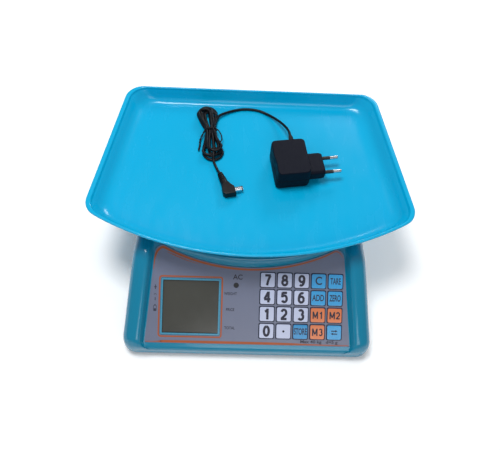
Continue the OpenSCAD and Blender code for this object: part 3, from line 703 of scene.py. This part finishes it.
def make_prints(mats):
    """Everything printed on the overlay."""
    make_orange_print(mats["orange"])
    make_window_rim(mats["rim"])
    make_icons(mats["ink"])
    for name, text, at, size, bold, wide in LABELS:
        legend(name, text, at, size, bold, wide, mats["ink"], "housing", "overlay")


CAPITAL_H = 0.7                     # a capital's height as a share of the font's size


def legend(name, text, at, size, bold, wide, mat, body, slot, z=0.0):
    """Lettering on the panel, centred at a (u, v) place, standing on the height z."""
    curve = bpy.data.curves.new(name, "FONT")
    curve.body = text
    curve.size = size * MM / CAPITAL_H
    curve.align_x = "CENTER"
    curve.align_y = "CENTER"
    curve.offset = bold * MM
    curve.extrude = 0.04 * MM
    curve.materials.append(mat)
    piece = add_object(name, curve)
    turn = Matrix.Rotation(PANEL_TILT, 4, "X") @ Matrix.Diagonal((wide, 1, 1, 1))
    piece.matrix_world = Matrix.Translation(spot(*panel_spot(at[0], at[1], z + 0.02))) @ turn
    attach(piece, body)


# --- Keys -----------------------------------------------------------------------------------

def arc(cx, cy, rx, ry, first, last, steps=16):
    """Points on an ellipse, between two angles in degrees."""
    angles = [math.radians(mix(first, last, i / steps)) for i in range(steps + 1)]
    return [(cx + rx * math.cos(a), cy + ry * math.sin(a)) for a in angles]


# Bold digits and the letter M as the middle lines of their strokes, in a box about 1 wide and 1 high
SIX = (arc(0, -0.17, 0.35, 0.29, 0, 360), arc(0.08, -0.1, 0.43, 0.56, 180, 62, 10))
STROKES = {
    "0": (arc(0, 0, 0.35, 0.45, 90, 450, 24),),
    "1": ([(-0.3, 0.24), (-0.1, 0.3), (0.08, 0.46)], [(0.08, 0.54), (0.08, 0), (0.08, -0.54)]),
    "2": (arc(0, 0.17, 0.33, 0.29, 165, -28, 12) + [(0.08, -0.14), (-0.3, -0.4)],
          [(-0.44, -0.45), (0, -0.45), (0.42, -0.45)]),
    "3": (arc(0, 0.22, 0.29, 0.24, 150, -80, 12), arc(0, -0.2, 0.35, 0.27, 85, -150, 14)),
    "4": ([(0.1, 0.46), (-0.15, 0.13), (-0.4, -0.2)], [(-0.46, -0.22), (0, -0.22), (0.46, -0.22)],
          [(0.16, 0.54), (0.16, 0), (0.16, -0.54)]),
    "5": ([(0.38, 0.45), (0, 0.45), (-0.3, 0.45)], [(-0.26, 0.5), (-0.29, 0.26), (-0.33, 0)],
          arc(0, -0.14, 0.35, 0.32, 130, -150)),
    "6": SIX,
    "7": ([(-0.4, 0.45), (0, 0.45), (0.42, 0.45)], [(0.36, 0.42), (0.08, 0), (-0.1, -0.54)]),
    "8": (arc(0, 0.23, 0.28, 0.23, 0, 360), arc(0, -0.21, 0.35, 0.26, 0, 360)),
    "9": tuple([(-x, -y) for x, y in stroke] for stroke in SIX),
    "m": ([(-0.42, -0.54), (-0.42, 0), (-0.42, 0.54)], [(-0.4, 0.46), (-0.2, 0.06), (0, -0.34)],
          [(0, -0.34), (0.2, 0.06), (0.4, 0.46)], [(0.42, -0.54), (0.42, 0), (0.42, 0.54)]),
}


def add_glyph(build, glyph, at, size, stroke, z):
    """One bold character on the panel, on the height z."""
    for number, points in enumerate(STROKES[glyph]):
        line = [(at[0] + x * size[0], at[1] + y * size[1]) for x, y in points]
        add_line(build, line, [stroke] * len(line), z + INK_LOW, z + INK_HIGH + 0.01 * number)


KEYS = ("0 point store m3 change 1 2 3 m1 m2 4 5 6 add zero 7 8 9 clear tare").split()
# The words on the keys, with their height and how wide they are drawn
WORDS = {"store": ("STORE", 6.6, 0.5), "add": ("ADD", 6.6, 0.62), "zero": ("ZERO", 6.6, 0.5),
         "clear": ("C", 8.4, 0.9), "tare": ("TARE", 6.6, 0.5)}
BLUE_KEYS = ("change", "add", "zero", "clear", "tare")
# A cap from its skirt up: how far in from its outline, and the height over the overlay
CAP_LEVELS = ((0, -2.4), (0, 0.45), (0.12, 0.68), (0.38, 0.82), (0.6, 0.86), (0.72, 0.86), (0.95, 0.9),
              (2.6, KEY_PROUD), (3.2, KEY_PROUD))
OUTLINE_BANDS = 5                   # the bands up to here are dark, the rest is the coloured face


def key_finish(key, mats):
    """The material and slot of a key's face."""
    if key in BLUE_KEYS:
        return mats["blue"], "key_blue"
    if key == "store":
        return mats["deep_blue"], "key_blue"
    if key in ("m1", "m2", "m3"):
        return mats["amber"], "key_orange"
    return mats["white"], "key_white"


def make_key(number, key, mats):
    """A cap with a dark outline round its coloured face, and its legend."""
    at = (KEYPAD_AT[0] + KEY_PITCH * (number % 5 - 2), KEYPAD_AT[1] + KEY_PITCH * (number // 5 - 1.5))
    node = "key_" + key
    face, slot = key_finish(key, mats)
    rings = []
    for inset, z in CAP_LEVELS:
        outline = rounded_box_ring(KEY_W - 2 * inset, KEY_W - 2 * inset, max(0.6, 2 - 0.7 * inset))
        rings.append([panel_spot(x, y, z) for x, y in moved(outline, at)])
    build = bmesh.new()
    add_loft(build, rings, mat_of=[0] * OUTLINE_BANDS + [1] * (len(CAP_LEVELS) - 1 - OUTLINE_BANDS))
    finish_mesh("cap_" + key, build, [mats["outline"], face], node, slot, [node])
    make_key_legend(key, at, mats["ink"], node, slot)


def make_key_legend(key, at, ink, node, slot):
    """A digit, a memory key's letter and digit, a word or a symbol on a key."""
    if key[-1].isdigit():
        build = bmesh.new()
        if key.isdigit():
            add_glyph(build, key, at, (7.3, 10.8), 2.6, KEY_PROUD)
        else:
            add_glyph(build, "m", (at[0] - 2.6, at[1]), (5.4, 7.2), 1.35, KEY_PROUD)
            add_glyph(build, key[1], (at[0] + 3.6, at[1]), (4.6, 7.2), 1.35, KEY_PROUD)
        finish_print("legend_" + key, build, ink, node, slot)
    elif key in WORDS:
        text, size, wide = WORDS[key]
        legend("legend_" + key, text, at, size, 0.2, wide, ink, node, slot, KEY_PROUD)
    else:
        make_symbol(key, at, ink, node, slot)


ARROW = ((-3.4, 1), (1.2, 1), (1.2, 0.2), (3.6, 1.5), (1.2, 2.8), (1.2, 2), (-3.4, 2))


def make_symbol(key, at, mat, body, slot):
    """The decimal point, and the arrow pair of the change key."""
    outlines = [circle(1.25, 20)]
    if key == "change":
        outlines = [[(sign * x, sign * y) for x, y in ARROW] for sign in (-1, 1)]
    build = bmesh.new()
    for outline in outlines:
        add_loft(build, [[panel_spot(x, y, KEY_PROUD + z) for x, y in moved(outline, at)]
                         for z in (INK_LOW, 0.06)])
    finish_print("legend_" + key, build, mat, body, slot)


# --- Mains adapter and its lead -------------------------------------------------------------

# The lead's route outside the hank, as in part.scad
LEAD_POINTS = [
    (42.8, 79.7, 103), (41.8, 86, 102), (39.5, 93, 100), (35.5, 101, 97), (30, 109, 94), (23.5, 116.5, 91.2),
    (16, 122.5, 89.8), (7, 126.5, 89.7), (-3, 128, 89.7), (-13, 127.5, 89.7), (-23, 124.5, 90),
    (-31, 120.5, 90.8), (-39.6, 114, 91.6)]
TAIL_POINTS = [(-43, 49, 92), (-41.5, 44, 92), (-39.5, 39, 92.2), (-37.2, 34.4, 92.4), (-34.9, 30.8, 92.7)]
HANK_MID, HANK_AXIS = (-47.75, 89), Vector((0.108, -0.994))
WAIST_S = -2.5                      # where the tie pinches the hank
TWIST_STEP = 0.75                   # turn of the tie's twisted ends from one point to the next, in radians
# Each turn of the hank: the near and the far lobe's radius, distance from the waist and shift to the
# right, the height in the lobes, and the place and height in the waist
HANK_TURNS = (
    ((10.8, 27.0, 0.6), (10.9, 28.4, -2.4), 1.6, 4.5, 1.6),
    ((7.0, 24.5, 3.6), (6.6, 27.6, -6.4), 3.0, 1.5, 1.6),
    ((9.0, 25.2, -1.2), (7.6, 26.0, 0.6), 4.5, 4.5, 4.5),
    ((6.6, 26.8, -3.8), (6.4, 23.0, 1.0), 5.9, 1.5, 4.5),
    ((6.2, 22.0, 1.0), (6.2, 28.6, -3.4), 7.3, 4.5, 7.3),
    ((6.8, 23.0, 3.4), (6.6, 25.0, -5.6), 8.7, 1.5, 7.3))


def hank_spot(s, t, z):
    """A point of the hank: s along it to the front, t to the right, z above the pan's floor."""
    across = Vector((-HANK_AXIS.y, HANK_AXIS.x))
    flat = Vector(HANK_MID) + HANK_AXIS * s + across * t
    return (flat.x, flat.y, PAN_FLOOR + 0.2 + z)


def hank_points():
    """The wound part of the lead: turns pinched together at the waist, with round lobes."""
    points = [hank_spot(-13, 6.4, 2.6)]
    for near, far, lobe_z, waist_t, waist_z in HANK_TURNS:
        for end, (r, reach, shift) in ((1, near), (-1, far)):
            points.append(hank_spot(WAIST_S, end * waist_t, waist_z))
            half_way = mix(waist_z, lobe_z, 0.5)
            points.append(hank_spot(end * reach * 0.5, end * mix(waist_t, r, 0.5) + shift * 0.5, half_way))
            for i in range(9):
                a = PI * i / 8
                s, t = end * (reach + r * math.sin(a)), end * r * math.cos(a) + shift
                points.append(hank_spot(s, t, lobe_z))
            points.append(hank_spot(end * reach * 0.5, -end * mix(waist_t, r, 0.5) + shift * 0.5, half_way))
    points += [hank_spot(WAIST_S, 1.0, 7.5), hank_spot(14, 1.6, 7.5), hank_spot(26, 1.4, 7.5),
               hank_spot(33.5, 0.8, 7.0)]
    return points


def make_lead(mats):
    """The lead as one cord: out of the adapter, over the pan, round the hank and to its plug."""
    path = smooth_path(LEAD_POINTS + hank_points() + TAIL_POINTS, 5)
    curve = bpy.data.curves.new("lead", "CURVE")
    curve.dimensions = "3D"
    curve.bevel_depth = LEAD_D / 2 * MM
    curve.bevel_resolution = 4
    curve.use_fill_caps = True
    spline = curve.splines.new("POLY")
    spline.points.add(len(path) - 1)
    for point, p in zip(spline.points, path):
        point.co = (*(p * MM), 1)
    spline.use_smooth = True
    curve.materials.append(mats["cable"])
    lead = add_object("adapter_cord", curve)
    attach(lead, "power_adapter")
    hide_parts("adapter_lead", "lead_hank", "lead_tail")
    return lead


def add_tube(build, path, r, sides=12):
    """A round tube along a path in millimetres, with closed ends."""
    rings = []
    for i, p in enumerate(path):
        ahead = (path[min(i + 1, len(path) - 1)] - path[max(i - 1, 0)]).normalized()
        side = ahead.cross(Vector((0.1, 0.2, 1))).normalized()
        over = side.cross(ahead)
        rings.append([p + side * x + over * y for x, y in circle(r, sides)])
    add_loft(build, rings)


def make_tie(mats):
    """Plastic-covered wire round the waist of the hank, with its twisted ends and a slack loop."""
    build = bmesh.new()
    parts = 32
    loop = []
    for i in range(parts + 1):
        a = 2 * PI * i / parts
        loop.append(Vector(hank_spot(WAIST_S + 0.5 * math.sin(a), 7.1 * math.cos(a),
                                     4.6 + 5.0 * math.sin(a))))
    add_tube(build, loop, 0.75)
    ends = [hank_spot(WAIST_S + 0.4, -5.6, 8.2), hank_spot(WAIST_S + 3, -8, 5.6), hank_spot(8, -12.5, 2.6),
            hank_spot(15, -13.6, 1.4), hank_spot(23.5, -15.5, 1.1)]
    for turn in (0, PI):
        strand = []
        for i, p in enumerate(smooth_path(ends, 8)):
            a = turn + TWIST_STEP * i
            strand.append(p + Vector((0.55 * math.cos(a), 0, 0.55 * math.sin(a))))
        add_tube(build, strand, 0.62, 8)
    slack = [hank_spot(WAIST_S, 4.5, 9.6), hank_spot(2, 8.6, 9.3), hank_spot(8, 11.6, 7.2),
             hank_spot(14, 11.4, 6.4), hank_spot(17.5, 8.0, 7.4), hank_spot(14, 5.4, 9.2),
             hank_spot(7, 5.0, 10.2), hank_spot(WAIST_S, 2.0, 9.9)]
    add_tube(build, smooth_path(slack, 6), 0.7)
    finish_mesh("wire_tie", build, [mats["cable"]], "power_adapter", "cable_pvc", ["lead_tie"], sharp=60)


# Profiles of the adapter. Case: inset and height. Plug block: distance from the case's side and inset.
# Pin's sleeve: distance from the case's middle and radius
CASE_LEVELS = ((2.6, 0), (1.2, 0.5), (0.3, 1.8), (0, 3.4), (0, 9), (0, 13.5), (0.4, 13.75), (0.4, 14.15),
               (0, 14.4), (0.1, 20), (0.25, 26.2), (0.55, 27.2), (1.0, 27.8), (1.8, 28))
BLOCK_LEVELS = ((-2, 0), (13.2, 0), (15.8, 0.5), (16.7, 1.1), (17, 2))
SLEEVE_LEVELS = ((35.5, 2.3), (36.6, 2.25), (37.2, 2.04), (45.4, 2.04), (45.7, 2.01))


def thumb_dip(x, y, z):
    """How far the adapter's left wall dips in, for a grip on its front half, above the parting line."""
    return 1.5 * smooth_step((6 - y) / 14) * smooth_step((z - 6) / 12) if x < 0 else 0


def make_adapter(mats):
    """Adapter case with a parting line and the plug block with its pins' sleeves."""
    place = turned(ADAPTER_AT, ADAPTER_TURN)
    build = bmesh.new()
    rings = []
    for inset, z in CASE_LEVELS:
        outline = rounded_box_ring(ADAPTER_W - 2 * inset, ADAPTER_D - 2 * inset, max(1, 4.8 - 0.6 * inset),
                                   sides=10)
        rings.append([place(x + thumb_dip(x, y, z), y, z) for x, y in outline])
    add_loft(build, rings)
    rings = []
    for along, inset in BLOCK_LEVELS:
        outline = rounded_box_ring(BLOCK_W - 2 * inset, BLOCK_H - 2 * inset, 3.6)
        rings.append([place(ADAPTER_W / 2 + along, PIN_MID_Y + y, PIN_MID_Z + z) for y, z in outline])
    add_loft(build, rings)
    finish_mesh("adapter_case", build, [mats["case"]], "power_adapter", "adapter_plastic",
                ["adapter_shell"], sharp=38)
    for name, side in (("left", 1), ("right", -1)):
        pin_y = PIN_MID_Y + side * PIN_GAP / 2
        build = bmesh.new()
        add_loft(build, [[place(along, pin_y + y, PIN_MID_Z + z) for y, z in circle(r, 24)]
                         for along, r in SLEEVE_LEVELS])
        finish_mesh("pin_sleeve_" + name, build, [mats["hard_black"]], "power_adapter", "adapter_plastic")


# The plug's outline, the inset and height of its body's rings, the distance from its middle and radius of
# the tip ring's, and the boot's start and direction
PLUG_OUTLINE = ((-6.9, -4), (-4.5, -6.5), (7, -6.5), (7, 2.2), (3, 7), (1.6, 9.6), (-4.4, 9.6), (-6.9, 4))
PLUG_LEVELS = ((1.4, -4.6), (0.4, -4.2), (0, -3.1), (0, 3.1), (0.4, 4.2), (1.4, 4.6))
TIP_RING = ((14.1, 2.8), (15.2, 2.84), (15.5, 2.6), (15.5, 1.3), (14.1, 1.3))
BOOT_FROM, BOOT_TURN = (-1.5, 5), math.radians(90 + 11)
BOOT_RIBS, RIB_PITCH, RIB_SHRINK = 4, 2.6, 0.25     # each rib is thinner than the last by RIB_SHRINK


def plug_body_rings(place):
    """Rings of the plug's body: its outline, drawn in towards its lower and upper face."""
    middle = Vector((0, 0.8))
    rings = []
    for inset, z in PLUG_LEVELS:
        ring = []
        for x, y in PLUG_OUTLINE:
            away = (Vector((x, y)) - middle).normalized()
            ring.append(place(x - away.x * inset, y - away.y * inset, z))
        rings.append(ring)
    return rings


def boot_rings(place):
    """Rings of the boot round the lead, which narrows from rib to rib."""
    ahead = Vector((math.cos(BOOT_TURN), math.sin(BOOT_TURN)))
    beside = Vector((ahead.y, -ahead.x))
    profile = [(1, 4.4), (4, 4.35), (6.6, 4.1)]
    for k in range(BOOT_RIBS):
        r = 4.2 - RIB_SHRINK * k
        s = 7.4 + RIB_PITCH * k
        profile += [(s, r), (s + 1.3, r - 0.1), (s + 1.6, r - 0.8), (s + 2.3, r - 0.85)]
    profile += [(17.8, 3.2), (18.9, 3.1), (19.1, 2.7)]
    rings = []
    for s, r in profile:
        centre = Vector(BOOT_FROM) + ahead * s
        flat = [(centre + beside * x, z) for x, z in circle(r, 24)]
        rings.append([place(p.x, p.y, z) for p, z in flat])
    return rings


def make_plug(mats):
    """Low-voltage plug: angled body with a bevelled edge, a ribbed boot round the lead and a tip ring."""
    place = turned(PLUG_AT, PLUG_TURN)
    build = bmesh.new()
    add_loft(build, plug_body_rings(place))
    add_loft(build, boot_rings(place))
    finish_mesh("plug_body", build, [mats["cable"]], "power_adapter", "cable_pvc", ["dc_plug_body"], sharp=40)
    build = bmesh.new()
    add_loft(build, [[place(along, y, z) for y, z in circle(r, 32)] for along, r in TIP_RING], caps=False)
    finish_mesh("plug_tip_ring", build, [mats["hard_black"]], "power_adapter", "cable_pvc")


# --- CAD nodes that stay --------------------------------------------------------------------

NODE_FINISH = {
    "body": "lower_housing battery_door",
    "overlay": "panel_overlay",
    "glass": "display_lens rear_display_lens",
    "lcd": "lcd_panel rear_lcd_panel",
    "board": "main_board keypad_board",
    "hard_black": "power_led switch_body power_rocker dc_jack",
    "alloy": "load_cell platform_frame",
    "steel": "load_cell_bolts platform_bolts housing_screws foot_screw_front_left foot_screw_front_right "
             "foot_screw_back_right foot_screw_back_left",
    "rubber": "support_pads foot_pad_front_left foot_pad_front_right foot_pad_back_right "
              "foot_pad_back_left strain_relief",
    "battery": "battery",
    "wire": "wiring_harness",
    "plated": "adapter_pins dc_plug_barrel",
}


def finish_nodes(mats):
    """Gives each CAD node that stays its finish."""
    for finish, names in NODE_FINISH.items():
        for name in names.split():
            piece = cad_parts[name]
            piece.data.materials.clear()
            piece.data.materials.append(mats[finish])


# --- Room -----------------------------------------------------------------------------------

FLOOR_REACH, WORLD_STRENGTH = 6000, 0.34
# Name, place, what it is aimed at, size, and power in watts
LIGHTS = (
    ("key_light", (-260, 150, 1500), (0, 0, 80), 480, 14.5),
    ("front_light", (200, -1300, 900), (0, -60, 60), 700, 4.5),
    ("back_light", (500, 1200, 900), (0, 60, 90), 400, 6))


def make_floor(mat):
    """A wide pale floor."""
    build = bmesh.new()
    corners = ((-1, -1), (1, -1), (1, 1), (-1, 1))
    build.faces.new([build.verts.new(spot(x * FLOOR_REACH, y * FLOOR_REACH, 0)) for x, y in corners])
    floor = mesh_object("floor", build)
    floor.data.materials.append(mat)


def make_lights():
    """White surround and soft lights."""
    world = bpy.data.worlds.new("surround")
    bpy.context.scene.world = world
    world.use_nodes = True
    surround = world.node_tree.nodes["Background"]
    surround.inputs["Color"].default_value = (0.95, 0.97, 1, 1)
    surround.inputs["Strength"].default_value = WORLD_STRENGTH
    for name, at, aim, size, power in LIGHTS:
        data = bpy.data.lights.new(name, "AREA")
        data.size = size * MM
        data.energy = power
        light = add_object(name, data)
        light.location = spot(*at)
        light.rotation_euler = (spot(*aim) - spot(*at)).to_track_quat("-Z", "Y").to_euler()
    bpy.context.scene.view_settings.view_transform = "Standard"


make_camera()
MATS = make_materials()
LEAD = make_lead(MATS)
make_adapter(MATS)
make_plug(MATS)
make_tie(MATS)
spot(*LEAD_POINTS[0])
make_pan(MATS)
make_upper_housing(MATS)
make_prints(MATS)
for NUMBER, KEY in enumerate(KEYS):
    make_key(NUMBER, KEY, MATS)
finish_nodes(MATS)
make_floor(MATS["floor"])
make_lights()
